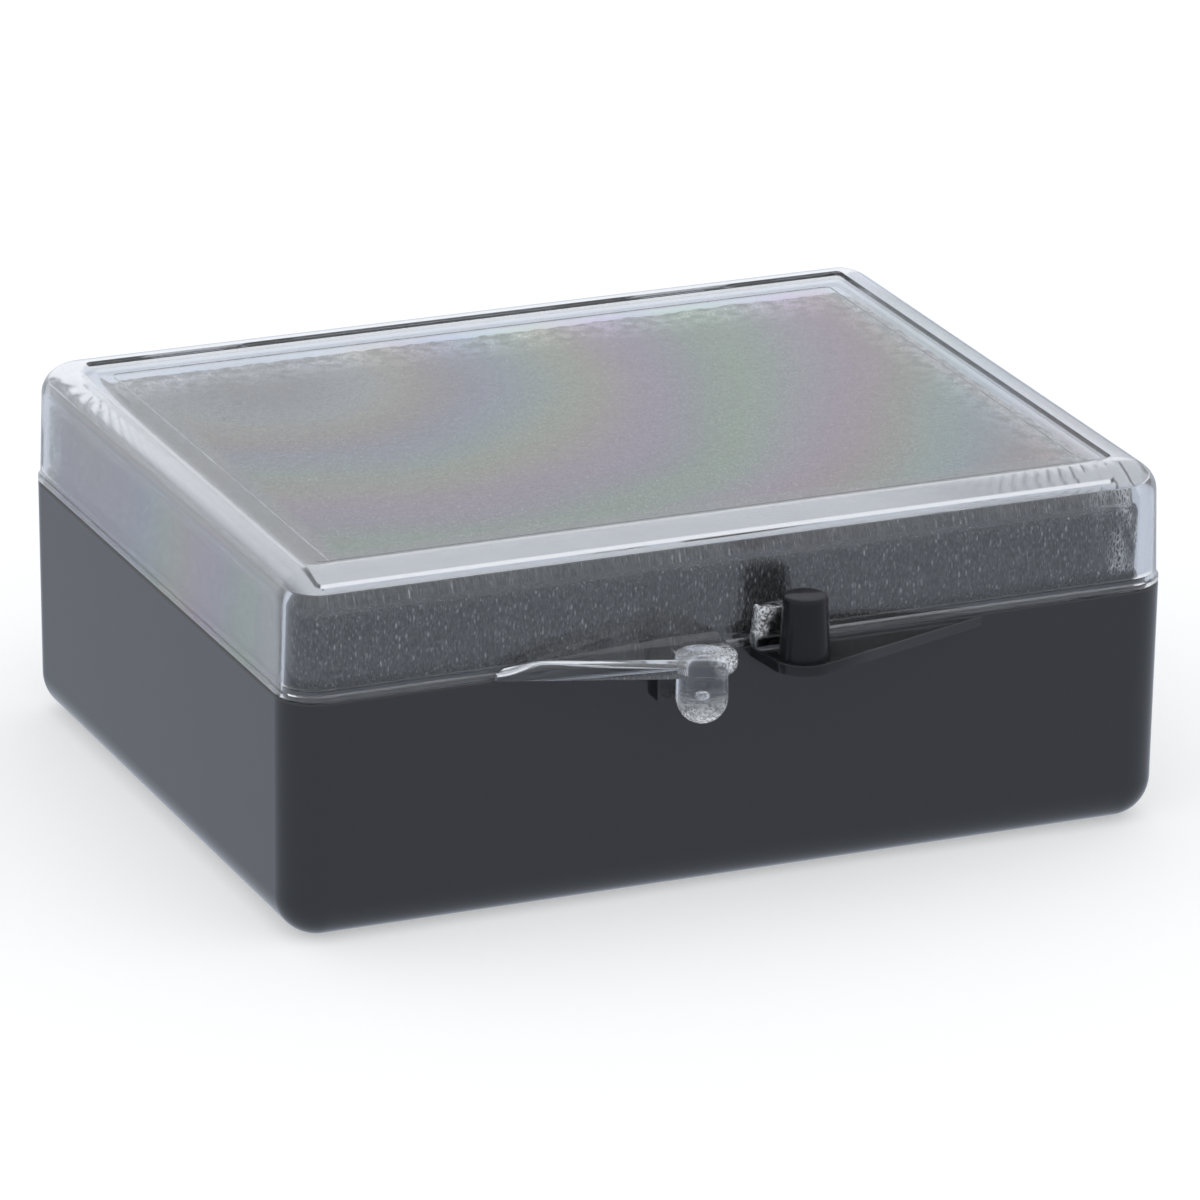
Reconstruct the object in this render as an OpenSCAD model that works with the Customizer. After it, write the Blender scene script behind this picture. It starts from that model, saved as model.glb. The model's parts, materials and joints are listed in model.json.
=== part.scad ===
// Hinged box for a dental crown or bridge: an opaque moulded tray,
// a clear moulded lid that turns on two pin hinges, and a foam pad in each half.
// Millimetres. X runs along the front, Y towards the hinges and Z up.
// The origin is the centre of the tray's underside.

/* [Box] */
// Width of the tray at its rim
box_w = 70; // [66:1:100]
// Depth of the tray at its rim
box_d = 55.4; // [50:0.2:80]
// Height of the tray, from the table to its rim
tray_h = 18.6; // [17:0.2:40]
// Height of the lid above the tray's rim
lid_h = 9.5; // [8.5:0.1:20]

/* [Tray mould] */
// Thickness of the tray's walls at the rim
tray_wall = 1.6; // [1.5:0.1:2.4]
// Thickness of the tray's floor
tray_floor = 1.5; // [1:0.1:3]
// Radius of the tray's upright corners
tray_corner_r = 3.1; // [2.8:0.1:5]
// Radius of the edge round the underside
tray_round = 3.2; // [2:0.1:4]
// Draft of the tray's walls, in degrees
tray_draft = 0.4; // [0:0.1:1]

/* [Lid mould] */
// Thickness of the lid's walls at the foot
lid_wall = 1; // [0.9:0.1:1.4]
// Thickness of the lid's top round its panel
lid_top = 1.5; // [1.1:0.1:2.4]
// Outer radius of the lid's upright corners
lid_corner_r = 2.8; // [2.4:0.1:5]
// Inner radius of the lid's upright corners
lid_inner_r = 2.2; // [1:0.1:4]
// How far the rounded edge of the lid's top reaches in
lid_round = 3.1; // [2.4:0.1:4]
// Height of that rounded edge
lid_round_h = 2.4; // [1.5:0.1:4]
// Draft of the lid's walls, in degrees
lid_draft = 0.5; // [0:0.1:1.5]
// Draft of the lid's walls on the inside, in degrees
lid_inner_draft = 0.7; // [0:0.1:2]
// How far the ceiling slopes up from the lid's walls
crown_in = 3.7; // [1:0.1:4]
// Height of that slope
crown_h = 0.35; // [0.1:0.05:0.8]
// Level rim between the rounded edge and the sunk panel on the lid's top
panel_edge = 0.15; // [0.1:0.05:3]
// Depth of the sunk panel
panel_depth = 0.35; // [0.1:0.05:0.5]
// Level rim between the slope and the thicker part of the ceiling
under_edge = 0.1; // [0.05:0.05:2]
// Depth of that thicker part below the ceiling
under_depth = 0.2; // [0.1:0.05:0.5]
// Radius of the corners of the panel and of the thicker part
panel_corner_r = 0.5; // [0.2:0.1:2]

/* [Rim] */
// How far the lid's walls stand in from the tray's
lid_inset = 0.2; // [0.1:0.05:0.4]
// Height of the bead round the foot of the lid
bead_h = 0.5; // [0.3:0.1:1]
// Gap between the closed lid and the tray's rim
seam = 0.1; // [0.05:0.05:0.2]
// Height of the lip that stands inside the lid's foot
lip_h = 0.7; // [0.4:0.1:1.5]
// Thickness of that lip
lip_t = 0.65; // [0.5:0.05:0.8]
// Gap round the lip, and above it
lip_gap = 0.1; // [0.05:0.05:0.2]

/* [Hinges] */
// Distance of each hinge's middle from the box's middle
hinge_x = 20.4; // [16:0.2:24]
// Space between the two ears of a hinge
ear_space = 8.2; // [6:0.2:10]
// Width of each ear
ear_w = 4.6; // [3.6:0.2:5]
// Distance of the hinge's axis behind the rim
hinge_out = 2.4; // [2.3:0.1:3]
// Radius of the ears and of the lid's knuckle
barrel_r = 2; // [1.8:0.1:2]
// Height of the web under each ear
ear_web_h = 5; // [4:0.5:8]
// Height of the web on the lid's knuckle
knuckle_web_h = 4; // [3:0.5:5]
// Where the webs meet the barrels, in degrees from straight back
web_angle = 30; // [20:5:45]
// Radius of the pins on the knuckle
pin_r = 1; // [0.8:0.05:1.2]
// Length of each pin
pin_len = 3.4; // [2.5:0.1:4]
// Chamfer at the end of each pin
pin_chamfer = 0.3; // [0.1:0.05:0.5]
// Running clearance round each pin
pin_gap = 0.07; // [0.03:0.01:0.1]
// Gap on each side of the knuckle
knuckle_gap = 0.15; // [0.1:0.05:0.3]

/* [Latch] */
// Distance of the latch posts' axes in front of the rim
post_out = 3.05; // [2.9:0.05:4]
// Radius of both posts where they leave their ledges
post_r = 1.9; // [1.6:0.05:2]
// Radius of the tray's post at its top
post_top_r = 1.65; // [1.2:0.05:1.8]
// Radius of the rounded head that carries each post
head_r = 2.55; // [2.4:0.05:3]
// Place of the tray's post to the right of the middle
tray_post_x = 3.7; // [3:0.1:6]
// Place of the lid's post to the left of the middle
lid_post_x = 4.35; // [3:0.05:6]
// Height of the tray's post above the rim
tray_post_h = 4.6; // [3:0.1:6]
// Edge round the top of the tray's post
post_edge = 0.3; // [0.1:0.05:0.5]
// Length of the lid's post below the rim, with its round end
lid_post_h = 4.2; // [3:0.1:6]
// Thickness of the tray's finger ledge
tray_ledge_t = 0.8; // [0.6:0.1:1.5]
// Height of the lid's finger ledge
lid_ledge_t = 1.4; // [1:0.1:2]
// Width at which the ledges' straight edges leave the wall
ledge_root = 19.2; // [12:0.2:22]
// How far the ledges stand out at their roots
ledge_root_out = 0.4; // [0.1:0.05:0.8]
// Length of the slope at the root of the lid's ledge
ledge_slope = 3.2; // [1:0.1:5]
// Width of the catch block behind each post
catch_w = 3.1; // [2:0.1:4]
// Height of each catch block
catch_h = 3; // [2:0.1:4]
// How far a catch block reaches to the left of its post's axis
catch_side = 2.6; // [1.8:0.1:3]
// Gap between a post and its catch block
catch_gap = 0.2; // [0.1:0.05:0.3]

/* [Foam] */
// Thickness of the pad in the tray
tray_foam_h = 10; // [6:0.5:10]
// Gap between the tray's pad and the walls round it
tray_foam_gap = 0.35; // [0.2:0.05:0.8]
// Thickness of the pad in the lid
lid_foam_h = 6.2; // [4:0.1:6.5]
// Gap between the lid's pad and the walls round it
lid_foam_gap = 0.55; // [0.5:0.05:0.8]
// Radius of the lid pad's corners and of its upper edge
lid_foam_r = 1.4; // [1:0.1:2]

/* [Hidden] */

// Facets on round pins, bores and posts
round_facets = 48;
// Facets on the corners of the shells
corner_facets = 32;
// A thin slice, used as the open end of a shell
slice = 0.05;
// How far a cut runs past the face that it opens
past = 1;
// How far a moulded piece reaches into the wall that carries it
root = 0.6;

// Front and back faces of the tray's rim
front_y = -box_d / 2;
back_y = box_d / 2;
// Size of the lid's walls at the foot
lid_w = box_w - 2 * lid_inset;
lid_d = box_d - 2 * lid_inset;
// Size of the lip, and of the pocket in the lid's foot that takes it
lip_w = box_w - 2 * (tray_wall - lip_t);
lip_d = box_d - 2 * (tray_wall - lip_t);
lip_corner_r = tray_corner_r - (tray_wall - lip_t);
// Undersides: of the closed lid and of the lid's ceiling
lid_z = tray_h + seam;
ceiling_z = tray_h + lid_h - lid_top;
// Foot of the ceiling's slope, and the underside of the ceiling's thicker part
crown_z = ceiling_z - crown_h;
under_z = ceiling_z - under_depth;
// How far the lid's walls have come in at their upper ends, outside and inside
wall_in = (lid_h - seam - lid_round_h) * tan(lid_draft);
cavity_in = (crown_z - lid_z) * tan(lid_inner_draft);
// Distances from the lid's foot to its panel and to the thicker part of the ceiling
panel_in = wall_in + lid_round + panel_edge;
under_in = lid_wall + cavity_in + crown_in + under_edge;
// Axis of both hinges
hinge_y = back_y + hinge_out;
hinge_z = tray_h;
// Axis of both latch posts
post_y = front_y - post_out;

// A block with rounded upright corners, exact round its outline
module rounded_plate(w, d, r, h) {
    linear_extrude(h) {
        square([w - 2 * r, d], center = true);
        square([w, d - 2 * r], center = true);
        for (x = [-1, 1], y = [-1, 1])
            translate([x * (w / 2 - r), y * (d / 2 - r)])
                circle(r, $fn = round_facets);
    }
}

// A ball whose facets reach its full radius along X, Y and Z
module corner_ball(r) {
    rotate_extrude($fn = corner_facets)
        intersection() {
            circle(r, $fn = corner_facets);
            translate([0, -r])
                square([r, 2 * r]);
        }
}

// A drafted block: open_r rounds its corners at z = 0, and its edge at z = h is rounded
// over end_in inwards and end_h in height
module drafted_block(w, d, h, open_r, end_in, end_h, draft) {
    inset = (h - end_h) * tan(draft);
    hull()
        for (x = [-1, 1], y = [-1, 1]) {
            translate([x * (w / 2 - open_r), y * (d / 2 - open_r), 0])
                cylinder(r = open_r, h = slice, $fn = corner_facets);
            translate([x * (w / 2 - inset - end_in), y * (d / 2 - inset - end_in), h - end_h])
                scale([1, 1, end_h / end_in])
                    corner_ball(end_in);
        }
}

// The same block hanging down from z = 0, with an evenly rounded edge
module hanging_block(w, d, h, open_r, end_r, draft) {
    mirror([0, 0, 1])
        drafted_block(w, d, h, open_r, end_r, end_r, draft);
}

// A barrel along X, from x to x + w on the hinges' axis
module barrel(x, w, r) {
    translate([x, hinge_y, hinge_z])
        rotate([0, 90, 0])
            cylinder(r = r, h = w, $fn = round_facets);
}

// A web along X, from x to x + w, whose outline is given as Y and Z
module web(x, w, outline) {
    translate([x, 0, 0])
        rotate([90, 0, 90])
            linear_extrude(w)
                polygon(outline);
}

// Where a straight edge from point p touches the front of a circle round c
function touch(p, c, r) =
    let (
        v = c - p,
        run = norm(v),
        turn = atan2(v[1], v[0]) + asin(r / run),
        along = sqrt(run * run - r * r)
    )
    p + along * [cos(turn), sin(turn)];

// Outline of a finger ledge: straight from its root on the right to a round head on the left
module ledge_outline(post_x) {
    head = [post_x, post_y];
    start = [ledge_root, front_y - ledge_root_out];
    polygon([
        [ledge_root, front_y + root],
        start,
        touch(start, head, head_r),
        head,
        head - [head_r, 0],
        [post_x - head_r - ledge_root_out, front_y + root]
    ]);
    translate(head)
        circle(head_r, $fn = round_facets);
}

// The block behind the post at post_x, from z = 0 up, rooted in the wall at wall_y
module catch_block(wall_y, post_x) {
    out_y = post_y + post_r + catch_gap;
    translate([post_x - catch_side, out_y, 0])
        cube([catch_w, wall_y + root - out_y, catch_h]);
}

// Tapered post with a flat top and a rounded edge, standing on z = 0
module flat_post() {
    steps = 6;
    rotate_extrude($fn = round_facets)
        polygon(concat(
            [[0, 0], [post_r, 0]],
            [for (i = [0 : steps])
                let (a = 90 * i / steps)
                [post_top_r - post_edge * (1 - cos(a)), tray_post_h - post_edge * (1 - sin(a))]],
            [[0, tray_post_h]]
        ));
}

// Post with a round end, hanging from z = 0
module round_post() {
    shank_h = lid_post_h - post_r;
    translate([0, 0, -shank_h]) {
        cylinder(r = post_r, h = shank_h, $fn = round_facets);
        sphere(post_r, $fn = round_facets);
    }
}

// Hinge ear on the tray: a barrel on a web that tapers down the back wall
module ear(x) {
    barrel(x, ear_w, barrel_r);
    web(x, ear_w, [
        [back_y - root, hinge_z - ear_web_h],
        [back_y, hinge_z - ear_web_h],
        [hinge_y + barrel_r * cos(web_angle), hinge_z - barrel_r * sin(web_angle)],
        [hinge_y, hinge_z],
        [hinge_y, hinge_z - seam],
        [back_y - root, hinge_z - seam]
    ]);
}

// Knuckle on the lid: a barrel with a pin at each end, on a web that tapers up the back wall
module knuckle(x) {
    w = ear_space - 2 * knuckle_gap;
    barrel(x - w / 2, w, barrel_r);
    for (side = [0, 1])
        translate([x, 0, 0])
            mirror([side, 0, 0]) {
                barrel(w / 2 - root, root + pin_len - pin_chamfer, pin_r);
                translate([w / 2 + pin_len - pin_chamfer, hinge_y, hinge_z])
                    rotate([0, 90, 0])
                        cylinder(r1 = pin_r, r2 = pin_r - pin_chamfer, h = pin_chamfer, $fn = round_facets);
            }
    web(x - w / 2, w, [
        [back_y - lid_inset - root, hinge_z + knuckle_web_h],
        [back_y - lid_inset, hinge_z + knuckle_web_h],
        [hinge_y + barrel_r * cos(web_angle), hinge_z + barrel_r * sin(web_angle)],
        [hinge_y, hinge_z],
        [hinge_y, lid_z],
        [back_y - lid_inset - root, lid_z]
    ]);
}

// Black tray: shell, lip, hinge ears and the right-hand half of the latch
module base_tray() {
    color("#1b1c1f")
        difference() {
            union() {
                translate([0, 0, tray_h])
                    hanging_block(box_w, box_d, tray_h, tray_corner_r, tray_round, tray_draft);
                translate([0, 0, tray_h - root])
                    rounded_plate(lip_w, lip_d, lip_corner_r, root + lip_h);
                for (side = [-1, 1], end = [-1, 1])
                    ear(side * hinge_x + end * (ear_space + ear_w) / 2 - ear_w / 2);
                translate([0, 0, tray_h - tray_ledge_t])
                    linear_extrude(tray_ledge_t)
                        ledge_outline(tray_post_x);
                translate([tray_post_x, post_y, tray_h])
                    flat_post();
                translate([0, 0, tray_h - catch_h])
                    catch_block(front_y, -lid_post_x);
            }
            translate([0, 0, tray_h])
                hanging_block(box_w - 2 * tray_wall, box_d - 2 * tray_wall, tray_h - tray_floor,
                    tray_corner_r - tray_wall, tray_round - tray_wall, tray_draft);
            translate([0, 0, tray_h - slice])
                rounded_plate(box_w - 2 * tray_wall, box_d - 2 * tray_wall,
                    tray_corner_r - tray_wall, lip_h + past);
            for (side = [-1, 1])
                barrel(side * hinge_x - ear_space / 2 - ear_w - past,
                    ear_space + 2 * (ear_w + past), pin_r + pin_gap);
        }
}

// Side view of the lid's ledge, as X and Z: it slopes up from the bead at its root
module ledge_side() {
    steps = 8;
    top_z = lid_z + lid_ledge_t;
    low_z = lid_z + bead_h;
    polygon(concat(
        [[-ledge_root - past, lid_z]],
        [for (i = [0 : steps])
            let (a = 180 * i / steps)
            [-ledge_root + ledge_slope * i / steps, low_z + (top_z - low_z) * (1 - cos(a)) / 2]],
        [[0, top_z], [0, lid_z]]
    ));
}

// Inside of the lid's shell: drafted walls, a sloping crown and the step round the panel
module lid_cavity() {
    w = lid_w - 2 * lid_wall;
    d = lid_d - 2 * lid_wall;
    crown_end = lid_wall + cavity_in + crown_in;
    difference() {
        hull() {
            translate([0, 0, lid_z - slice])
                rounded_plate(w, d, lid_inner_r, slice);
            translate([0, 0, crown_z - slice])
                rounded_plate(w - 2 * cavity_in, d - 2 * cavity_in, lid_inner_r, slice);
            translate([0, 0, ceiling_z - slice])
                rounded_plate(lid_w - 2 * crown_end, lid_d - 2 * crown_end, panel_corner_r, slice);
        }
        translate([0, 0, under_z])
            rounded_plate(lid_w - 2 * under_in, lid_d - 2 * under_in, panel_corner_r, under_depth + past);
    }
}

// Clear lid: shell, bead, hinge knuckles and the left-hand half of the latch
module clear_lid() {
    color("#d6dde2", 0.35)
        difference() {
            union() {
                translate([0, 0, lid_z])
                    drafted_block(lid_w, lid_d, lid_h - seam, lid_corner_r,
                        lid_round, lid_round_h, lid_draft);
                translate([0, 0, lid_z])
                    rounded_plate(box_w, box_d, tray_corner_r, bead_h);
                for (side = [-1, 1])
                    knuckle(side * hinge_x);
                intersection() {
                    translate([0, 0, lid_z])
                        linear_extrude(lid_ledge_t)
                            mirror([1, 0, 0])
                                ledge_outline(lid_post_x);
                    translate([0, back_y, 0])
                        rotate([90, 0, 0])
                            linear_extrude(2 * box_d)
                                ledge_side();
                }
                translate([-lid_post_x, post_y, lid_z])
                    round_post();
                translate([0, 0, lid_z])
                    catch_block(front_y + lid_inset, tray_post_x);
            }
            lid_cavity();
            translate([0, 0, tray_h + lid_h - panel_depth])
                rounded_plate(lid_w - 2 * panel_in, lid_d - 2 * panel_in, panel_corner_r, past);
            translate([0, 0, lid_z - slice])
                rounded_plate(lip_w + 2 * lip_gap, lip_d + 2 * lip_gap, lip_corner_r + lip_gap,
                    lip_h + lip_gap - seam + slice);
        }
}

// Foam pad that rests on the tray's floor
module base_foam() {
    room = 2 * (tray_wall + tray_foam_gap);
    color("#3a3a3d")
        translate([0, 0, tray_floor + tray_foam_h])
            hanging_block(box_w - room, box_d - room, tray_foam_h,
                tray_corner_r - tray_wall, tray_round - tray_wall, tray_draft);
}

// Foam pad in the lid, a push fit between its walls, down to the rim
module lid_foam() {
    room = 2 * (lid_wall + lid_foam_gap);
    color("#4a4a4e")
        translate([0, 0, lid_z])
            drafted_block(lid_w - room, lid_d - room, lid_foam_h, lid_foam_r, lid_foam_r, lid_foam_r, 0);
}

base_tray();
clear_lid();
base_foam();
lid_foam();
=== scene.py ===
"""Looks of a hinged crown and bridge box: glossy black tray, clear moulded lid, foam pads."""

import json
import math

import bmesh
import bpy
from mathutils import Matrix, Vector, noise


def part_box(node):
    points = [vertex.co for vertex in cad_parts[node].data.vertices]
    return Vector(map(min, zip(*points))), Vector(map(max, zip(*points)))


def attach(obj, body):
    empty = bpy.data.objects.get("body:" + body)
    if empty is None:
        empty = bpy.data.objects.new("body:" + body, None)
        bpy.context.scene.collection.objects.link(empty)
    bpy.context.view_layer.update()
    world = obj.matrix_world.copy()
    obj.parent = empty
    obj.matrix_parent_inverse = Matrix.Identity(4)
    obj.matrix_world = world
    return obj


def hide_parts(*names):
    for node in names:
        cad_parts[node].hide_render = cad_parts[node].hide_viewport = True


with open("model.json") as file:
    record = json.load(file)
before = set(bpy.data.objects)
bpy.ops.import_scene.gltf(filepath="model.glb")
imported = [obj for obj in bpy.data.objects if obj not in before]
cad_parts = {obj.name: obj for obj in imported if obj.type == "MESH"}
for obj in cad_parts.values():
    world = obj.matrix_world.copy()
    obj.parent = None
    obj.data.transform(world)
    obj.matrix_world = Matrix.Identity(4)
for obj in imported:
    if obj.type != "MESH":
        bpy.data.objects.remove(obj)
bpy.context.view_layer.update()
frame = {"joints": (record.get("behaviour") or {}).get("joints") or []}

MM = 0.001

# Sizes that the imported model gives, in millimetres
TRAY_LOW, TRAY_HIGH = [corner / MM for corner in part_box("base_tray")]
LID_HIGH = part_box("clear_lid")[1] / MM
BASE_FOAM_LOW, BASE_FOAM_HIGH = [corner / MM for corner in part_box("base_foam")]
LID_FOAM_LOW, LID_FOAM_HIGH = [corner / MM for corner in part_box("lid_foam")]
HINGE = Vector(frame["joints"][0]["pos_m"]) / MM
RIM_Z = HINGE.z

# The shells, in millimetres and degrees
HINGE_OUT = 2.4
BOX_W = TRAY_HIGH.x - TRAY_LOW.x
BOX_D = 2 * (HINGE.y - HINGE_OUT)
FRONT_Y = -BOX_D / 2
BACK_Y = BOX_D / 2
TRAY_WALL = 1.6
TRAY_FLOOR = 1.5
TRAY_CORNER_R = 3.1
TRAY_ROUND = 3.2
TRAY_DRAFT = 0.4
LID_WALL = 1.0
LID_TOP = 1.5
LID_CORNER_R = 2.8
LID_INNER_R = 2.2
LID_ROUND = 3.1
LID_ROUND_H = 2.4
LID_DRAFT = 0.5
LID_INNER_DRAFT = 0.7
CROWN_IN = 3.7
CROWN_H = 0.35
PANEL_EDGE = 0.15
PANEL_DEPTH = 0.35
UNDER_EDGE = 0.1
UNDER_DEPTH = 0.2
PANEL_CORNER_R = 0.5
STEP_IN = 0.08
LID_INSET = 0.2
BEAD_H = 0.5
SEAM = 0.1
LIP_H = 0.7
LIP_T = 0.65
LIP_GAP = 0.1
LID_Z = RIM_Z + SEAM

# The hinges
HINGE_X = 20.4
EAR_SPACE = 8.2
EAR_W = 4.6
BARREL_R = 2.0
EAR_WEB_H = 5.0
KNUCKLE_WEB_H = 4.0
PIN_R = 1.0
PIN_LEN = 3.4
PIN_CHAMFER = 0.3
PIN_GAP = 0.07
KNUCKLE_GAP = 0.15
WEB_ANGLE = 30
HINGE_EDGE = 0.12

# The latch
POST_Y = FRONT_Y - 3.05
POST_R = 1.9
POST_TOP_R = 1.65
HEAD_R = 2.55
HEAD_ROUND = 0.6
DIMPLE_R = 0.75
DIMPLE_H = 0.3
BUBBLE_R = 0.38
BUBBLE_DOWN = 1.9
TRAY_POST_X = 3.7
LID_POST_X = 4.35
TRAY_POST_H = 4.6
LID_POST_H = 4.2
POST_EDGE = 0.3
TRAY_LEDGE_T = 0.8
LID_LEDGE_T = 1.4
LEDGE_ROOT = 19.2
LEDGE_ROOT_OUT = 0.4
LEDGE_SLOPE = 3.2
CATCH_W = 3.1
CATCH_H = 3.0
CATCH_GAP = 0.2
CATCH_SIDE = 2.6
CATCH_FOOT = 0.35
CATCH_EDGE = 0.25

# Rough-moulded, whitened spots of the clear lid: a point, a reach round it and a strength
FROSTED = (
    ((-LID_POST_X, POST_Y, LID_Z - LID_POST_H), 3.2, 0.8),
    ((-LID_POST_X + HEAD_R / 2, POST_Y - HEAD_R / 2, LID_Z + LID_LEDGE_T), 2.2, 0.6),
    ((TRAY_POST_X - CATCH_SIDE, POST_Y + POST_R + CATCH_GAP, LID_Z + CATCH_H), 1.5, 1.0),
    ((TRAY_POST_X - CATCH_SIDE, POST_Y + POST_R + CATCH_GAP, LID_Z + CATCH_H / 2), 0.9, 0.8),
)

# The foam pads: corners and edges, the lid pad's bulge above the tray's lip, the base pad's narrow foot
LID_FOAM_R = 1.4
LID_FOAM_EDGE = 0.5
BASE_FOAM_R = 1.2
BASE_FOAM_EDGE = 0.6
BASE_FOOT = 1.15
FOAM_BULGE = 0.32
BULGE_GAP = 0.15
BULGE_Z = RIM_Z + LIP_H + BULGE_GAP
BULGE_RUN = 0.4

# The foam's surface: mesh size, depth of its pits and waves, and how far its pattern is drawn out upright
LID_FOAM_GRID = 0.36
BASE_FOAM_GRID = 0.5
FOAM_PIT = 0.12
FOAM_PIT_SCALE = 1.6
FOAM_WAVE = 0.06
FOAM_WAVE_SCALE = 0.2
FOAM_STRETCH = 0.35

# Where painted light brightens the cell walls of the lid's pad, at its right and back: along X, along Y and
# up from its foot, from none to all
LIT_CELLS_X = (28.5, 32.5)
LIT_CELLS_Y = (20.5, 24.5)
LIT_CELLS_UP = (0.6, 1.4)

# How finely curves are drawn, and how far a feature reaches into its wall
CORNER_STEPS = 16
FILLET_STEPS = 12
ROUND_STEPS = 64
ROOT = 0.6

# The clear plastic: its colour, the rings of moulding stress, and how rough and veiled it is
CLEAR_COLOUR = (0.96, 0.97, 0.99)
STRESS_CENTRE = Vector((-20.0, 16.0, 27.0))
STRESS_PERIODS = (17.9, 15.0, 12.1)
STRESS_DRIFT = 3
STRESS_DEPTH_TOP = 0.19
STRESS_DEPTH_END = 0.1
EDGE_HAZE = 0.06
END_HAZE = 0.12
END_VEIL = 0.14

# Where those effects fade in or out: in from the walls, down from the top, back or out from the front
RINGS_IN = (6.4, 5.8)
RINGS_WALL = (1.8, 1.4)
RINGS_DOWN = (3, 2)
EDGE_DOWN = 1.6
EDGE_IN = (5, 4)
END_IN = (1.6, 1.3)
END_BACK = (2.2, 3.5)
FRONT_OUT = (0.3, 0.1)

# How far the painted shade on the black post, a weaker reflection there, reaches from its middle
POST_SHADE_REACH = 5.75

# Light, as linear colours
SKY_LIGHT = (0.94, 0.965, 1.0)
FLOOR_MIRRORED = (0.60, 0.65, 0.74)

# The camera: where it stands, from the middle of the rim, and how it is turned
CAMERA_PLACE = Vector((-243.44, -564.94, 216.98))
CAMERA_YAW = 23.386
CAMERA_PITCH = 19.899
CAMERA_ROLL = 0.626
CAMERA_LENS = 260.28


def plan_loop(half_x, half_y, radius, z):
    """Points round a rounded rectangle at height z, from its right-hand side."""
    points = []
    for quarter, (side_x, side_y) in enumerate(((1, 1), (-1, 1), (-1, -1), (1, -1))):
        for step in range(CORNER_STEPS + 1):
            turn = math.radians(90 * (quarter + step / CORNER_STEPS))
            points.append((
                side_x * (half_x - radius) + radius * math.cos(turn),
                side_y * (half_y - radius) + radius * math.sin(turn),
                z,
            ))
    return points


def new_object(name, points, faces):
    """Object from points in millimetres, with doubled points merged and faces turned outwards."""
    mesh = bpy.data.meshes.new(name)
    mesh.from_pydata([Vector(p) * MM for p in points], [], faces)
    body = bmesh.new()
    body.from_mesh(mesh)
    bmesh.ops.remove_doubles(body, verts=body.verts, dist=0.002 * MM)
    bmesh.ops.recalc_face_normals(body, faces=body.faces)
    body.to_mesh(mesh)
    body.free()
    piece = bpy.data.objects.new(name, mesh)
    bpy.context.scene.collection.objects.link(piece)
    return piece


def skin(name, loops):
    """Closed solid through loops that all have the same number of points."""
    count = len(loops[0])
    points = [p for loop in loops for p in loop]
    faces = []
    for row in range(len(loops) - 1):
        for k in range(count):
            after = (k + 1) % count
            faces.append((row * count + k, row * count + after,
                          (row + 1) * count + after, (row + 1) * count + k))
    faces.append(tuple(reversed(range(count))))
    faces.append(tuple(range(len(points) - count, len(points))))
    return new_object(name, points, faces)


def lathe(name, outline, centre):
    """Solid of revolution about Z: outline is (radius, z) from end to end."""
    loops = []
    for radius, z in outline:
        loops.append([(centre[0] + radius * math.cos(2 * math.pi * k / ROUND_STEPS),
                       centre[1] + radius * math.sin(2 * math.pi * k / ROUND_STEPS),
                       centre[2] + z) for k in range(ROUND_STEPS)])
    return skin(name, loops)


def prism_x(name, outline, low_x, high_x):
    """Prism along X whose outline is given as (y, z)."""
    return skin(name, [[(x, y, z) for y, z in outline] for x in (low_x, high_x)])


def rod_x(name, radius, low_x, high_x, chamfer=0.0):
    """Round rod along X on the hinges' axis, with a chamfer at both ends."""
    sections = [(low_x, radius - chamfer), (low_x + chamfer, radius),
                (high_x - chamfer, radius), (high_x, radius - chamfer)]
    if not chamfer:
        sections = [(low_x, radius), (high_x, radius)]
    loops = []
    for x, r in sections:
        loops.append([(x, HINGE.y + r * math.cos(2 * math.pi * k / ROUND_STEPS),
                       HINGE.z + r * math.sin(2 * math.pi * k / ROUND_STEPS))
                      for k in range(ROUND_STEPS)])
    return skin(name, loops)


def rounded_block(name, low, high, corner_r, bulge=0.0, foot=0.0):
    """Block with rounded upright edges, which can bulge above the tray's lip or narrow at its foot."""
    middle = (low + high) / 2
    half = (high - low) / 2
    levels = [(low.z, 0.0), (high.z, 0.0)]
    if foot:
        levels = [(low.z, -foot), (low.z + foot, 0.0), (high.z, 0.0)]
    if bulge:
        levels = [(low.z, 0.0), (BULGE_Z, 0.0), (BULGE_Z + BULGE_RUN, bulge), (high.z, bulge)]
    loops = []
    for z, out in levels:
        loop = plan_loop(half.x + out, half.y + out, corner_r + out, z)
        loops.append([(middle.x + x, middle.y + y, level) for x, y, level in loop])
    return skin(name, loops)


def apply_modifiers(piece):
    """Replaces a piece's mesh by what its modifiers make of it."""
    depsgraph = bpy.context.evaluated_depsgraph_get()
    made = bpy.data.meshes.new_from_object(piece.evaluated_get(depsgraph))
    piece.modifiers.clear()
    piece.data = made


def soften(piece, width, segments=2, angle=40):
    """Rounds a piece's sharp edges."""
    bevel = piece.modifiers.new("soften", "BEVEL")
    bevel.width = width * MM
    bevel.segments = segments
    bevel.limit_method = "ANGLE"
    bevel.angle_limit = math.radians(angle)
    apply_modifiers(piece)
    return piece


def combine(piece, others, operation):
    """Adds other pieces to a piece, or cuts them from it, and removes them."""
    for other in others:
        step = piece.modifiers.new("combine", "BOOLEAN")
        step.operation = operation
        step.solver = "EXACT"
        step.object = other
        apply_modifiers(piece)
        bpy.data.objects.remove(other)
    return piece


def shade(piece, angle=28):
    """Smooth shading that breaks at sharp edges and keeps flat faces flat."""
    body = bmesh.new()
    body.from_mesh(piece.data)
    for face in body.faces:
        face.smooth = True
    for edge in body.edges:
        edge.smooth = len(edge.link_faces) != 2 or edge.calc_face_angle(0) < math.radians(angle)
    body.to_mesh(piece.data)
    body.free()
    weighted = piece.modifiers.new("flat faces", "WEIGHTED_NORMAL")
    weighted.keep_sharp = True
    apply_modifiers(piece)


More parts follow.
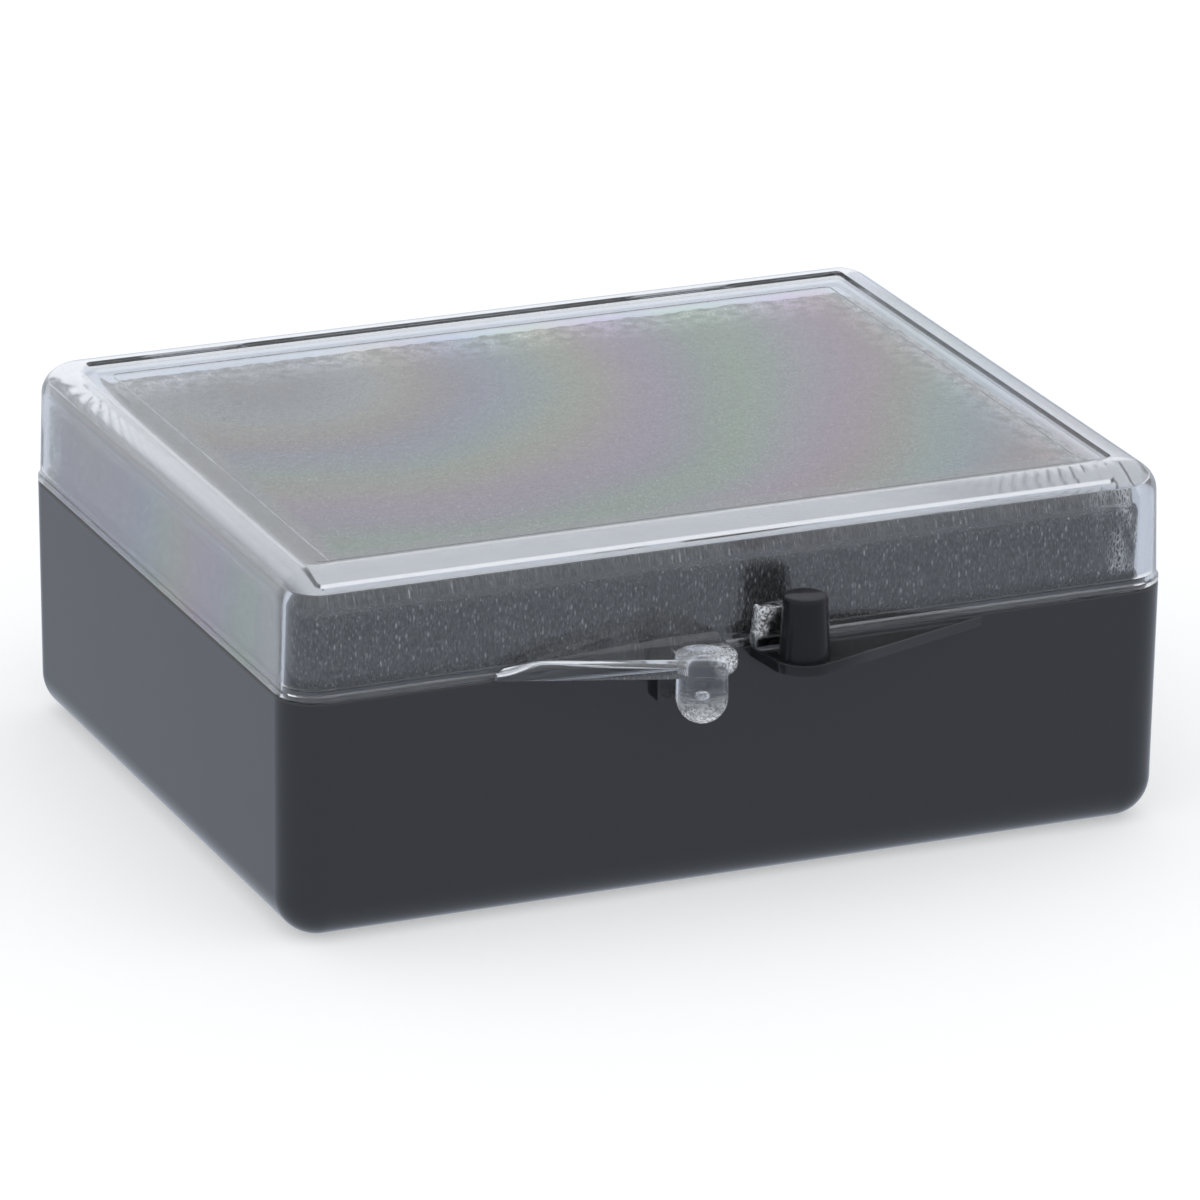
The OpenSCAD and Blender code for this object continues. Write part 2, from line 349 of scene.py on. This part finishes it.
def drafted(size, height, open_r, round_in, round_up, draft, end_r=None):
    """(half x, half y, corner radius, height) up a drafted wall and its rounded edge."""
    inset = (height - round_up) * math.tan(math.radians(draft))
    half_x, half_y = size[0] / 2, size[1] / 2
    rows = [(half_x, half_y, open_r, 0.0)]
    for step in range(FILLET_STEPS + 1):
        turn = math.radians(90 * step / FILLET_STEPS)
        in_by = inset + round_in * (1 - math.cos(turn))
        rows.append((half_x - in_by, half_y - in_by, (end_r or round_in) * math.cos(turn),
                     height - round_up + round_up * math.sin(turn)))
    return rows


def raised(rows, base_z, up=1):
    """Loops from drafted rows, standing on base_z or hanging from it."""
    return [plan_loop(x, y, max(r, 0.0), base_z + up * z) for x, y, r, z in rows]


def ledge_outline(post_x, head_r):
    """(x, y, outward x, outward y) along a finger ledge, from its root to the wall past its head."""
    start = Vector((LEDGE_ROOT, FRONT_Y - LEDGE_ROOT_OUT))
    head = Vector((post_x, POST_Y))
    to_head = head - start
    run = to_head.length
    turn = math.atan2(to_head.y, to_head.x) + math.asin(head_r / run)
    along = math.sqrt(run * run - head_r * head_r)
    touch = start + along * Vector((math.cos(turn), math.sin(turn)))
    first = math.atan2(touch.y - head.y, touch.x - head.x)
    out = Vector((math.cos(first), math.sin(first)))
    points = []
    straight_steps = 24
    points.append((LEDGE_ROOT, FRONT_Y + ROOT, 0.0, 0.0))
    for step in range(straight_steps):
        p = start.lerp(touch, step / straight_steps)
        points.append((p.x, p.y, out.x, out.y))
    arc_steps = 32
    last = -math.pi
    for step in range(arc_steps + 1):
        a = first + (last - first) * step / arc_steps
        out_x, out_y = math.cos(a), math.sin(a)
        points.append((head.x + head_r * out_x, head.y + head_r * out_y, out_x, out_y))
    points.append((head.x - head_r - LEDGE_ROOT_OUT, FRONT_Y + ROOT, -0.5, 0.0))
    return points


def ledge(post_x, head_r, low_z, height, edge, mirror, rise=lambda x: 1.0):
    """Finger ledge with a rounded upper edge; rise gives its share of the height along X."""
    outline = ledge_outline(post_x, head_r)
    levels = [(0.0, 0.0)]
    edge_steps = 6
    for step in range(edge_steps + 1):
        turn = math.radians(90 * step / edge_steps)
        levels.append((edge * (1 - math.cos(turn)), height - edge + edge * math.sin(turn)))
    loops = []
    for inset, z in levels:
        loops.append([((x - out_x * inset) * mirror, y - out_y * inset, low_z + z * rise(x))
                      for x, y, out_x, out_y in outline])
    return skin("ledge", loops)


def catch_block(wall_y, low_x, low_z, foot_side=0.0):
    """Block on the wall behind the other half's post; foot_side widens its foot to the left."""
    out_y = POST_Y + POST_R + CATCH_GAP
    high_x, in_y = low_x + CATCH_W, wall_y + ROOT
    loops = []
    for z, left in ((low_z, low_x - foot_side), (low_z + CATCH_H, low_x)):
        loops.append([(left, out_y, z), (high_x, out_y, z), (high_x, in_y, z), (left, in_y, z)])
    return soften(skin("catch", loops), CATCH_EDGE)


def web_outline(root_y, root_z, foot_z, side):
    """(y, z) of an ear or a knuckle: a web on the wall that runs round the barrel."""
    arc_steps = 24
    points = [(root_y, foot_z), (root_y, root_z), (root_y + ROOT, root_z)]
    first = side * math.radians(WEB_ANGLE)
    level = (foot_z - HINGE.z) / BARREL_R
    last = -side * (math.pi + side * math.asin(level))
    for step in range(arc_steps + 1):
        a = first + (last - first) * step / arc_steps
        points.append((HINGE.y + BARREL_R * math.cos(a), HINGE.z + BARREL_R * math.sin(a)))
    return points


def ear(middle_x):
    """One of the tray's hinge ears."""
    outline = web_outline(BACK_Y - ROOT, RIM_Z - EAR_WEB_H, RIM_Z - SEAM, -1)
    return soften(prism_x("ear", outline, middle_x - EAR_W / 2, middle_x + EAR_W / 2), HINGE_EDGE)


def knuckle(middle_x):
    """One of the lid's knuckles, with a pin at each end."""
    half = EAR_SPACE / 2 - KNUCKLE_GAP
    outline = web_outline(BACK_Y - LID_INSET - ROOT, RIM_Z + KNUCKLE_WEB_H, LID_Z, 1)
    piece = soften(prism_x("knuckle", outline, middle_x - half, middle_x + half), HINGE_EDGE)
    pins = rod_x("pins", PIN_R, middle_x - half - PIN_LEN, middle_x + half + PIN_LEN, PIN_CHAMFER)
    return combine(piece, [pins], "UNION")


def tapered_post():
    """The tray's upright latch post: it narrows upwards and has a rounded top edge."""
    flare, flare_h = 0.05, 0.15
    outline = [(0.0, -TRAY_LEDGE_T / 2), (POST_R + flare, -TRAY_LEDGE_T / 2), (POST_R, flare_h)]
    steps = 6
    for step in range(steps + 1):
        turn = math.radians(90 * step / steps)
        outline.append((POST_TOP_R - POST_EDGE * (1 - math.cos(turn)),
                        TRAY_POST_H - POST_EDGE * (1 - math.sin(turn))))
    outline.append((0.0, TRAY_POST_H))
    return lathe("post", outline, (TRAY_POST_X, POST_Y, RIM_Z))


def make_tray():
    """Black tray with its lip, ears, ledge, post and catch block."""
    size = (BOX_W, BOX_D)
    inner = (BOX_W - 2 * TRAY_WALL, BOX_D - 2 * TRAY_WALL)
    outside = drafted(size, RIM_Z, TRAY_CORNER_R, TRAY_ROUND, TRAY_ROUND, TRAY_DRAFT)
    inside = drafted(inner, RIM_Z - TRAY_FLOOR, TRAY_CORNER_R - TRAY_WALL, TRAY_ROUND - TRAY_WALL,
                     TRAY_ROUND - TRAY_WALL, TRAY_DRAFT)
    rim_edge = 0.12
    lip_out = TRAY_WALL - LIP_T
    lip_r = TRAY_CORNER_R - lip_out
    loops = list(reversed(raised(outside, RIM_Z, -1)))[:-1]
    loops.append(plan_loop(BOX_W / 2, BOX_D / 2, TRAY_CORNER_R, RIM_Z - rim_edge))
    loops.append(plan_loop(BOX_W / 2 - rim_edge, BOX_D / 2 - rim_edge, TRAY_CORNER_R - rim_edge, RIM_Z))
    loops.append(plan_loop(BOX_W / 2 - lip_out, BOX_D / 2 - lip_out, lip_r, RIM_Z))
    loops.append(plan_loop(BOX_W / 2 - lip_out, BOX_D / 2 - lip_out, lip_r, RIM_Z + LIP_H - rim_edge))
    top_in = lip_out + rim_edge
    loops.append(plan_loop(BOX_W / 2 - top_in, BOX_D / 2 - top_in, lip_r - rim_edge, RIM_Z + LIP_H))
    loops.append(plan_loop(inner[0] / 2, inner[1] / 2, TRAY_CORNER_R - TRAY_WALL, RIM_Z + LIP_H))
    loops += raised(inside, RIM_Z, -1)
    tray = skin("tray", loops)
    ears = [ear(side * HINGE_X + end * (EAR_SPACE + EAR_W) / 2) for side in (-1, 1) for end in (-1, 1)]
    ledge_edge = 0.15
    shelf = ledge(TRAY_POST_X, HEAD_R, RIM_Z - TRAY_LEDGE_T, TRAY_LEDGE_T, ledge_edge, 1)
    catch = catch_block(FRONT_Y, -LID_POST_X - CATCH_SIDE, RIM_Z - CATCH_H)
    combine(tray, ears + [shelf, tapered_post(), catch], "UNION")
    bores = [rod_x("bore", PIN_R + PIN_GAP, side * HINGE_X - EAR_SPACE / 2 - EAR_W - 1,
                   side * HINGE_X + EAR_SPACE / 2 + EAR_W + 1) for side in (-1, 1)]
    combine(tray, bores, "DIFFERENCE")
    shade(tray)
    return tray


def ledge_rise(x):
    """Share of the lid ledge's height at x: it slopes up from the bead at its root."""
    along = min(max((LEDGE_ROOT - x) / LEDGE_SLOPE, 0.0), 1.0)
    low = BEAD_H / LID_LEDGE_T
    return low + (1 - low) * (1 - math.cos(math.pi * along)) / 2


def stepped(size, inset, z, depth):
    """The two rows of a small step down in a level surface."""
    low_in = inset + STEP_IN
    return [(size[0] / 2 - inset, size[1] / 2 - inset, PANEL_CORNER_R, z),
            (size[0] / 2 - low_in, size[1] / 2 - low_in, PANEL_CORNER_R - STEP_IN, z - depth)]


def arc(middle_r, middle_z, radius_r, radius_z, first, last, steps=8):
    """(radius, z) along an ellipse's arc between two angles."""
    points = []
    for step in range(steps + 1):
        turn = math.radians(first + (last - first) * step / steps)
        points.append((middle_r + radius_r * math.cos(turn), middle_z + radius_z * math.sin(turn)))
    return points


def round_post():
    """The lid's round-ended post under its bulb-like head, whose top has a dimple."""
    shank = LID_POST_H - POST_R
    foot_round = HEAD_ROUND / 2
    outline = arc(0, LID_LEDGE_T, DIMPLE_R, DIMPLE_H, -90, 0)
    outline += arc(HEAD_R - HEAD_ROUND, LID_LEDGE_T - HEAD_ROUND, HEAD_ROUND, HEAD_ROUND, 90, 0)
    outline += arc(HEAD_R - foot_round, foot_round, foot_round, foot_round, 0, -90)
    outline.append((POST_R, 0))
    outline += arc(0, -shank, POST_R, POST_R, 0, -90, 16)
    return lathe("post", outline, (-LID_POST_X, POST_Y, LID_Z))


def bubble():
    """Small hollow that the moulding left inside the lid's post."""
    outline = arc(0, 0, BUBBLE_R, BUBBLE_R, 90, -90, 16)
    return lathe("bubble", outline, (-LID_POST_X, POST_Y, LID_Z - BUBBLE_DOWN))


def make_lid():
    """Clear lid with its bead, knuckles, ledge, round post and catch block."""
    foot = (BOX_W - 2 * LID_INSET, BOX_D - 2 * LID_INSET)
    inner = (foot[0] - 2 * LID_WALL, foot[1] - 2 * LID_WALL)
    lid_h = LID_HIGH.z - LID_Z
    ceiling = lid_h - LID_TOP
    wall_in = (lid_h - LID_ROUND_H) * math.tan(math.radians(LID_DRAFT))
    cavity_in = (ceiling - CROWN_H) * math.tan(math.radians(LID_INNER_DRAFT))
    outside = drafted(foot, lid_h, LID_CORNER_R, LID_ROUND, LID_ROUND_H, LID_DRAFT)
    outside += stepped(foot, wall_in + LID_ROUND + PANEL_EDGE, lid_h, PANEL_DEPTH)
    inside = drafted(inner, ceiling, LID_INNER_R, CROWN_IN, CROWN_H, LID_INNER_DRAFT, LID_INNER_R)
    inside += stepped(foot, LID_WALL + cavity_in + CROWN_IN + UNDER_EDGE, ceiling, UNDER_DEPTH)
    pocket = TRAY_WALL - LIP_T - LIP_GAP
    pocket_z = RIM_Z + LIP_H + LIP_GAP
    bead_edge = 0.1
    loops = list(reversed(raised(outside, LID_Z)))[:-1]
    loops.append(plan_loop(foot[0] / 2, foot[1] / 2, LID_CORNER_R, LID_Z + BEAD_H))
    rows = [(bead_edge, LID_Z + BEAD_H), (0.0, LID_Z + BEAD_H - bead_edge), (0.0, LID_Z + bead_edge),
            (bead_edge, LID_Z), (pocket, LID_Z), (pocket, pocket_z)]
    for inset, z in rows:
        loops.append(plan_loop(BOX_W / 2 - inset, BOX_D / 2 - inset, TRAY_CORNER_R - inset, z))
    loops.append(plan_loop(inner[0] / 2, inner[1] / 2, LID_INNER_R, pocket_z))
    loops += raised(inside[1:], LID_Z)
    lid = skin("lid", loops)
    knuckles = [knuckle(side * HINGE_X) for side in (-1, 1)]
    ledge_edge, in_head, under_head = 0.55, 0.15, 0.05
    shelf = ledge(LID_POST_X, HEAD_R - in_head, LID_Z, LID_LEDGE_T - under_head, ledge_edge, -1, ledge_rise)
    catch = catch_block(FRONT_Y + LID_INSET, TRAY_POST_X - CATCH_SIDE, LID_Z, CATCH_FOOT)
    combine(lid, knuckles + [shelf, round_post(), catch], "UNION")
    combine(lid, [bubble()], "DIFFERENCE")
    shade(lid)
    return lid


def make_foam(pad, edge, grid):
    """Turns a block into a cut foam pad: soft edges and a skin pitted by small cells."""
    soften(pad, edge, 4)
    cells = pad.modifiers.new("cells", "REMESH")
    cells.mode = "VOXEL"
    cells.voxel_size = grid * MM
    apply_modifiers(pad)
    moved = []
    for vertex in pad.data.vertices:
        at = vertex.co / MM
        pit = FOAM_PIT * (noise.noise(at * FOAM_PIT_SCALE) - 1)
        wave = FOAM_WAVE * (noise.noise(at * FOAM_WAVE_SCALE) - 1)
        moved.extend(vertex.co + vertex.normal * (pit + wave) * MM)
    pad.data.vertices.foreach_set("co", moved)
    pad.data.update()
    for face in pad.data.polygons:
        face.use_smooth = True
    return pad


class Shader:
    """A node material that is built up step by step."""

    def __init__(self, name):
        self.material = bpy.data.materials.new(name)
        self.material.use_nodes = True
        self.tree = self.material.node_tree
        self.tree.nodes.clear()
        self.out = self.tree.nodes.new("ShaderNodeOutputMaterial")

    def node(self, kind, **settings):
        made = self.tree.nodes.new(kind)
        for key, value in settings.items():
            setattr(made, key, value)
        return made

    def link(self, a, b):
        self.tree.links.new(a, b)

    def principled(self, **values):
        bsdf = self.node("ShaderNodeBsdfPrincipled")
        for key, value in values.items():
            bsdf.inputs[key.replace("_", " ")].default_value = value
        self.link(bsdf.outputs["BSDF"], self.out.inputs["Surface"])
        return bsdf

    def coords(self, scale=(1, 1, 1)):
        place = self.node("ShaderNodeTexCoord")
        mapping = self.node("ShaderNodeMapping")
        mapping.inputs["Scale"].default_value = scale
        self.link(place.outputs["Object"], mapping.inputs["Vector"])
        return mapping.outputs["Vector"]

    def noise(self, vector, scale, detail=2.0, rough=0.5):
        made = self.node("ShaderNodeTexNoise")
        self.link(vector, made.inputs["Vector"])
        made.inputs["Scale"].default_value = scale
        made.inputs["Detail"].default_value = detail
        made.inputs["Roughness"].default_value = rough
        return made.outputs["Fac"]

    def spread(self, value, from_low, from_high, to_low, to_high, clamp=True):
        made = self.node("ShaderNodeMapRange", clamp=clamp)
        self.link(value, made.inputs["Value"])
        made.inputs["From Min"].default_value = from_low
        made.inputs["From Max"].default_value = from_high
        made.inputs["To Min"].default_value = to_low
        made.inputs["To Max"].default_value = to_high
        return made.outputs["Result"]

    def fade(self, value, start, end, low=0, high=1):
        """Goes from low to high between two places given in millimetres."""
        return self.spread(value, start * MM, end * MM, low, high)

    def axes(self, vector):
        made = self.node("ShaderNodeSeparateXYZ")
        self.link(vector, made.inputs[0])
        return made.outputs

    def distance(self, vector, point):
        """Distance from a point that is given in millimetres."""
        made = self.node("ShaderNodeVectorMath", operation="DISTANCE")
        self.link(vector, made.inputs[0])
        made.inputs[1].default_value = Vector(point) * MM
        return made.outputs["Value"]

    def math(self, operation, *values):
        made = self.node("ShaderNodeMath", operation=operation)
        for value, socket in zip(values, made.inputs):
            self.link(value, socket)
        return made.outputs[0]

    def near(self, vector, point, reach):
        """1 at a point, given in millimetres, fading to 0 at the edge of a ball round it."""
        return self.fade(self.distance(vector, point), reach / 2, reach, 1, 0)

    def bump(self, height, distance):
        made = self.node("ShaderNodeBump")
        self.link(height, made.inputs["Height"])
        made.inputs["Distance"].default_value = distance
        made.inputs["Strength"].default_value = 1.0
        return made.outputs["Normal"]


def black_plastic():
    """Glossy moulded polystyrene, very slightly wavy; on and round the latch post its reflection is turned
    down as painted shade.
    """
    s = Shader("black plastic")
    bsdf = s.principled(Base_Color=(0.012, 0.0125, 0.0145, 1), IOR=1.56)
    place = s.coords()
    rough = s.spread(s.noise(place, 400, 3), 0.3, 0.7, 0.09, 0.14)
    # Painted shade: a weaker reflection darkens the latch post and the wall and ledge near it.
    post = s.near(place, (TRAY_POST_X, POST_Y, RIM_Z + TRAY_POST_H / 2), POST_SHADE_REACH)
    s.link(s.spread(post, 0, 1, 0.5, 0.15), bsdf.inputs["Specular IOR Level"])
    s.link(rough, bsdf.inputs["Roughness"])
    s.link(s.bump(s.noise(place, 60, 1), 0.00002), bsdf.inputs["Normal"])
    return s.material


def ring_depth(s, place):
    """How deep the stress rings are: most in the lid's panel, less on its end walls, none elsewhere."""
    x, y, z = s.axes(place)
    across = s.math("ABSOLUTE", x)
    inside_x = s.fade(across, BOX_W / 2 - RINGS_IN[0], BOX_W / 2 - RINGS_IN[1], 1, 0)
    inside_y = s.fade(s.math("ABSOLUTE", y), BOX_D / 2 - RINGS_IN[0], BOX_D / 2 - RINGS_IN[1], 1, 0)
    on_panel = s.math("MULTIPLY", inside_x, inside_y)
    on_wall = s.fade(across, BOX_W / 2 - RINGS_WALL[0], BOX_W / 2 - RINGS_WALL[1])
    low = s.fade(z, LID_HIGH.z - RINGS_DOWN[0], LID_HIGH.z - RINGS_DOWN[1], 1, 0)
    on_end = s.math("MULTIPLY", s.math("MULTIPLY", on_wall, low), inside_y)
    panel_depth = s.spread(on_panel, 0, 1, 0, STRESS_DEPTH_TOP)
    end_depth = s.spread(on_end, 0, 1, 0, STRESS_DEPTH_END)
    return s.math("MAXIMUM", panel_depth, end_depth)


def stress_tint(s, place):
    """The lid's colour, with pastel rings round the place where its mould was filled."""
    drift = s.spread(s.noise(place, 35, 1), 0.2, 0.8, -STRESS_DRIFT * MM, STRESS_DRIFT * MM)
    path = s.math("ADD", s.distance(place, STRESS_CENTRE), drift)
    depth = ring_depth(s, place)
    tint = s.node("ShaderNodeCombineColor")
    for k, period in enumerate(STRESS_PERIODS):
        turn = s.spread(path, 0, period * MM, 0, 2 * math.pi, clamp=False)
        wave = s.spread(s.math("COSINE", turn), -1, 1, 0, 1)
        s.link(s.spread(s.math("MULTIPLY", wave, depth), 0, 1, CLEAR_COLOUR[k], 0), tint.inputs[k])
    return tint.outputs[0]


def end_haze(s, place):
    """Roughness of the lid's end walls; the front-left corner stays clear."""
    x, y, z = s.axes(place)
    right = s.fade(x, BOX_W / 2 - END_IN[0], BOX_W / 2 - END_IN[1], 0, END_HAZE)
    left = s.fade(x, END_IN[0] - BOX_W / 2, END_IN[1] - BOX_W / 2, 0, END_HAZE)
    past_corner = s.fade(y, FRONT_Y + END_BACK[0], FRONT_Y + END_BACK[1])
    return s.math("MAXIMUM", right, s.math("MULTIPLY", left, past_corner))


def edge_haze(s, place):
    """Roughness of the lid's rounded upper edges."""
    x, y, z = s.axes(place)
    high = s.fade(z, LID_HIGH.z - LID_ROUND_H, LID_HIGH.z - EDGE_DOWN, 0, EDGE_HAZE)
    near_end = s.fade(s.math("ABSOLUTE", x), BOX_W / 2 - EDGE_IN[0], BOX_W / 2 - EDGE_IN[1])
    near_side = s.fade(s.math("ABSOLUTE", y), BOX_D / 2 - EDGE_IN[0], BOX_D / 2 - EDGE_IN[1])
    return s.math("MULTIPLY", high, s.math("MAXIMUM", near_end, near_side))


def clear_plastic():
    """Clear moulded polystyrene, with stress rings, haze, veiled ends and whitened spots on its latch."""
    s = Shader("clear plastic")
    bsdf = s.principled(IOR=1.59)
    place = s.coords()
    s.link(stress_tint(s, place), bsdf.inputs["Base Color"])
    haze = s.spread(s.noise(place, 300, 2), 0.35, 0.75, 0.006, 0.03)
    ends = end_haze(s, place)
    haze = s.math("MAXIMUM", s.math("MAXIMUM", haze, edge_haze(s, place)), ends)
    clear = s.spread(ends, 0, END_HAZE, 1.0, 1 - END_VEIL)
    outside = s.fade(s.axes(place)["Y"], FRONT_Y - FRONT_OUT[0], FRONT_Y - FRONT_OUT[1], 1, 0)
    grain = s.math("MULTIPLY", s.spread(s.noise(place, 4500, 2), 0.4, 0.6, 0.15, 1.0), outside)
    for point, reach, strength in FROSTED:
        spot = s.spread(s.math("MULTIPLY", grain, s.near(place, point, reach)), 0, 1, 0, strength)
        haze = s.math("MAXIMUM", haze, s.spread(spot, 0, 1, 0, 0.5))
        clear = s.math("MINIMUM", clear, s.spread(spot, 0, 1, 1.0, 0.15))
    s.link(haze, bsdf.inputs["Roughness"])
    s.link(clear, bsdf.inputs["Transmission Weight"])
    depth = s.node("ShaderNodeVolumeAbsorption")
    depth.inputs["Color"].default_value = (0.35, 0.37, 0.4, 1)
    depth.inputs["Density"].default_value = 9
    s.link(depth.outputs[0], s.out.inputs["Volume"])
    return s.material


def painted_lit_cell_walls(s, place):
    """Painted light: cell walls made bright at the right and the back of the lid's pad, as if lit through
    the lid's walls; place is drawn out upright.
    """
    net = s.node("ShaderNodeTexVoronoi", feature="DISTANCE_TO_EDGE")
    s.link(place, net.inputs["Vector"])
    net.inputs["Scale"].default_value = 5200
    x, y, z = s.axes(place)
    foot = LID_FOAM_LOW.z
    up = s.fade(z, (foot + LIT_CELLS_UP[0]) * FOAM_STRETCH, (foot + LIT_CELLS_UP[1]) * FOAM_STRETCH)
    sides = s.math("MAXIMUM", s.fade(x, *LIT_CELLS_X), s.fade(y, *LIT_CELLS_Y))
    painted_light_mask = s.math("MULTIPLY", sides, up)
    patches = s.math("MULTIPLY", s.spread(s.noise(place, 900, 1), 0.35, 0.6, 0, 1), painted_light_mask)
    return s.math("MULTIPLY", s.spread(net.outputs["Distance"], 0.02, 0.2, 0.9, 0), patches)


def foam_material():
    """Dark cellular foam: a fine upright grain, with short bright ticks where cell walls catch the light."""
    s = Shader("foam")
    bsdf = s.principled(Roughness=0.5, IOR=1.45, Sheen_Weight=0.05, Sheen_Roughness=0.4)
    place = s.coords((1, 1, FOAM_STRETCH))
    grain = s.noise(place, 7000, 2, 0.65)
    colour = s.spread(grain, 0.4, 0.72, 0.03, 0.17)
    # Painted glints: bright ticks added to the base colour where cell walls would catch the light.
    for scale, chance_from, top in ((3600, 0.4, 0.5), (6200, 0.4, 0.4)):
        cells = s.node("ShaderNodeTexVoronoi", feature="F1")
        s.link(place, cells.inputs["Vector"])
        cells.inputs["Scale"].default_value = scale
        chance = s.node("ShaderNodeSeparateColor")
        s.link(cells.outputs["Color"], chance.inputs["Color"])
        painted_glint = s.spread(cells.outputs["Distance"], 0.1, 0.36, 1.0, 0.0)
        lit = s.math("MULTIPLY", s.spread(chance.outputs[0], chance_from, 1.0, 0.0, top), painted_glint)
        colour = s.math("ADD", colour, lit)
    # Painted light on the cell walls at the right and back of the pad.
    colour = s.math("ADD", colour, painted_lit_cell_walls(s, place))
    s.link(colour, bsdf.inputs["Base Color"])
    s.link(s.bump(grain, 0.0001), bsdf.inputs["Normal"])
    return s.material


def floor_material():
    """Pale floor: it keeps the box's shadow, and is of one plain shade in reflections."""
    s = Shader("floor")
    ray = s.node("ShaderNodeLightPath")
    matt = s.node("ShaderNodeBsdfDiffuse")
    matt.inputs["Color"].default_value = (0.66, 0.66, 0.66, 1)
    fill = s.node("ShaderNodeEmission")
    fill.inputs["Color"].default_value = (0.42, 0.42, 0.42, 1)
    seen = s.node("ShaderNodeAddShader")
    s.link(matt.outputs[0], seen.inputs[0])
    s.link(fill.outputs[0], seen.inputs[1])
    mirrored = s.node("ShaderNodeEmission")
    mirrored.inputs["Color"].default_value = (*FLOOR_MIRRORED, 1)
    both = s.node("ShaderNodeMixShader")
    s.link(ray.outputs["Is Glossy Ray"], both.inputs["Fac"])
    s.link(seen.outputs[0], both.inputs[1])
    s.link(mirrored.outputs[0], both.inputs[2])
    s.link(both.outputs[0], s.out.inputs["Surface"])
    return s.material


def make_world():
    """Even white studio light, with a cool cast in reflections."""
    world = bpy.data.worlds.new("studio")
    world.use_nodes = True
    tree = world.node_tree
    ray = tree.nodes.new("ShaderNodeLightPath")
    mix = tree.nodes.new("ShaderNodeMix")
    mix.data_type = "RGBA"
    mix.inputs["A"].default_value = (*SKY_LIGHT, 1)
    mix.inputs["B"].default_value = (1, 1, 1, 1)
    tree.links.new(ray.outputs["Is Camera Ray"], mix.inputs["Factor"])
    tree.links.new(mix.outputs["Result"], tree.nodes["Background"].inputs["Color"])
    bpy.context.scene.world = world


def make_stage():
    """Floor, white surroundings and the view settings."""
    half = 3000
    corners = [(-half, -half, 0), (half, -half, 0), (half, half, 0), (-half, half, 0)]
    floor = new_object("floor", corners, [(0, 1, 2, 3)])
    floor.data.materials.append(floor_material())
    make_world()
    scene = bpy.context.scene
    scene.view_settings.view_transform = "Standard"
    scene.cycles.max_bounces = 100
    scene.cycles.transmission_bounces = 100
    scene.cycles.glossy_bounces = 100


def make_camera():
    """Camera at the photograph's viewing angle."""
    data = bpy.data.cameras.new("camera")
    data.lens = CAMERA_LENS
    data.sensor_width = 36
    data.clip_end = 20
    camera = bpy.data.objects.new("camera", data)
    place = (CAMERA_PLACE + Vector((0, 0, RIM_Z))) * MM
    camera.matrix_world = (
        Matrix.Translation(place)
        @ Matrix.Rotation(math.radians(-CAMERA_YAW), 4, "Z")
        @ Matrix.Rotation(math.radians(90 - CAMERA_PITCH), 4, "X")
        @ Matrix.Rotation(math.radians(CAMERA_ROLL), 4, "Z")
    )
    bpy.context.scene.collection.objects.link(camera)
    bpy.context.scene.camera = camera


def dress(piece, material, body, node):
    """Gives a piece its material, says what it rides on, and hides the imported part that it stands for."""
    piece.data.materials.clear()
    piece.data.materials.append(material)
    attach(piece, body)
    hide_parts(node)


make_camera()
make_stage()
dress(make_tray(), black_plastic(), "base", "base_tray")
dress(make_lid(), clear_plastic(), "lid", "clear_lid")
foam = foam_material()
base_block = rounded_block("base_pad", BASE_FOAM_LOW, BASE_FOAM_HIGH, BASE_FOAM_R, foot=BASE_FOOT)
base_pad = make_foam(base_block, BASE_FOAM_EDGE, BASE_FOAM_GRID)
dress(base_pad, foam, "base", "base_foam")
lid_block = rounded_block("lid_pad", LID_FOAM_LOW, LID_FOAM_HIGH, LID_FOAM_R, bulge=FOAM_BULGE)
lid_pad = make_foam(lid_block, LID_FOAM_EDGE, LID_FOAM_GRID)
dress(lid_pad, foam, "lid", "lid_foam")
